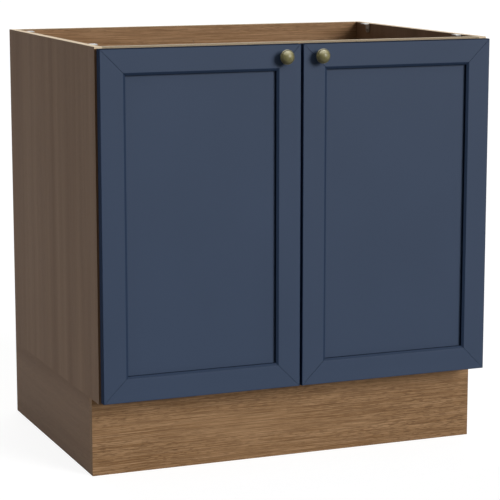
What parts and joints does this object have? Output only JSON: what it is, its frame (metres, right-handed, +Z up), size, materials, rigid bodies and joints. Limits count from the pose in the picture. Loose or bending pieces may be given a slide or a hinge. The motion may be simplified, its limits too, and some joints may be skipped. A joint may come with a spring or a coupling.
{
  "type": "kitchen base cabinet",
  "caption": "Floor-standing kitchen base cabinet without a worktop: wood-effect carcass on a set-back plinth, mitred-frame doors on cup hinges and domed knobs.",
  "frame": {"origin": "on the floor, under the middle of the cabinet's box, knobs included", "axes": "+X to the right as seen from the front, -Y towards the front, +Z up"},
  "size_m": [0.8, 0.626, 0.813],
  "materials": {
    "carcass_board": "brown oak-effect melamine on chipboard, low sheen",
    "back_board": "thin fibreboard with a brown oak-effect face",
    "door_lacquer": "matte navy lacquer",
    "antique_brass": "antique brass, darkened in the groove",
    "zinc_steel": "zinc-plated steel",
    "dowel_wood": "plain beech",
    "bumper_rubber": "soft clear buffer"
  },
  "bodies": {
    "carcass": {"left_side_panel": "carcass_board", "right_side_panel": "carcass_board", "bottom_panel": "carcass_board", "front_top_rail": "carcass_board", "back_top_rail": "carcass_board", "shelf": "carcass_board", "plinth_front": "carcass_board", "left_plinth_side": "carcass_board", "right_plinth_side": "carcass_board", "plinth_back": "carcass_board", "back_panel": "back_board", "dowels": "dowel_wood", "worktop_brackets": "zinc_steel", "worktop_bracket_screws": "zinc_steel", "plinth_brackets": "zinc_steel", "plinth_bracket_screws": "zinc_steel", "cam_locks": "zinc_steel", "cam_bolts": "zinc_steel", "back_panel_nails": "zinc_steel", "shelf_pins": "zinc_steel", "left_hinge_plates": "zinc_steel", "right_hinge_plates": "zinc_steel", "left_hinge_arms": "zinc_steel", "right_hinge_arms": "zinc_steel", "left_plate_screws": "zinc_steel", "right_plate_screws": "zinc_steel", "left_arm_screws": "zinc_steel", "right_arm_screws": "zinc_steel"},
    "left_door": {"left_door_hinge_stile": "door_lacquer", "left_door_meeting_stile": "door_lacquer", "left_door_top_rail": "door_lacquer", "left_door_bottom_rail": "door_lacquer", "left_door_panel": "door_lacquer", "left_hinge_cups": "zinc_steel", "left_hinge_pins": "zinc_steel", "left_cup_screws": "zinc_steel", "left_knob_screw": "zinc_steel", "left_knob": "antique_brass", "left_door_corner_dowels": "dowel_wood", "left_door_bumpers": "bumper_rubber"},
    "right_door": {"right_door_hinge_stile": "door_lacquer", "right_door_meeting_stile": "door_lacquer", "right_door_top_rail": "door_lacquer", "right_door_bottom_rail": "door_lacquer", "right_door_panel": "door_lacquer", "right_hinge_cups": "zinc_steel", "right_hinge_pins": "zinc_steel", "right_cup_screws": "zinc_steel", "right_knob_screw": "zinc_steel", "right_knob": "antique_brass", "right_door_corner_dowels": "dowel_wood", "right_door_bumpers": "bumper_rubber"}
  },
  "joints": [
    {"name": "left_door_swing", "type": "hinge", "parent": "carcass", "child": "left_door", "pos_m": [-0.38926, -0.2787, 0.482], "axis": [0, 0, -1], "range_deg": [0, 105]},
    {"name": "right_door_swing", "type": "hinge", "parent": "carcass", "child": "right_door", "pos_m": [0.38926, -0.2787, 0.482], "axis": [0, 0, 1], "range_deg": [0, 105]}
  ]
}
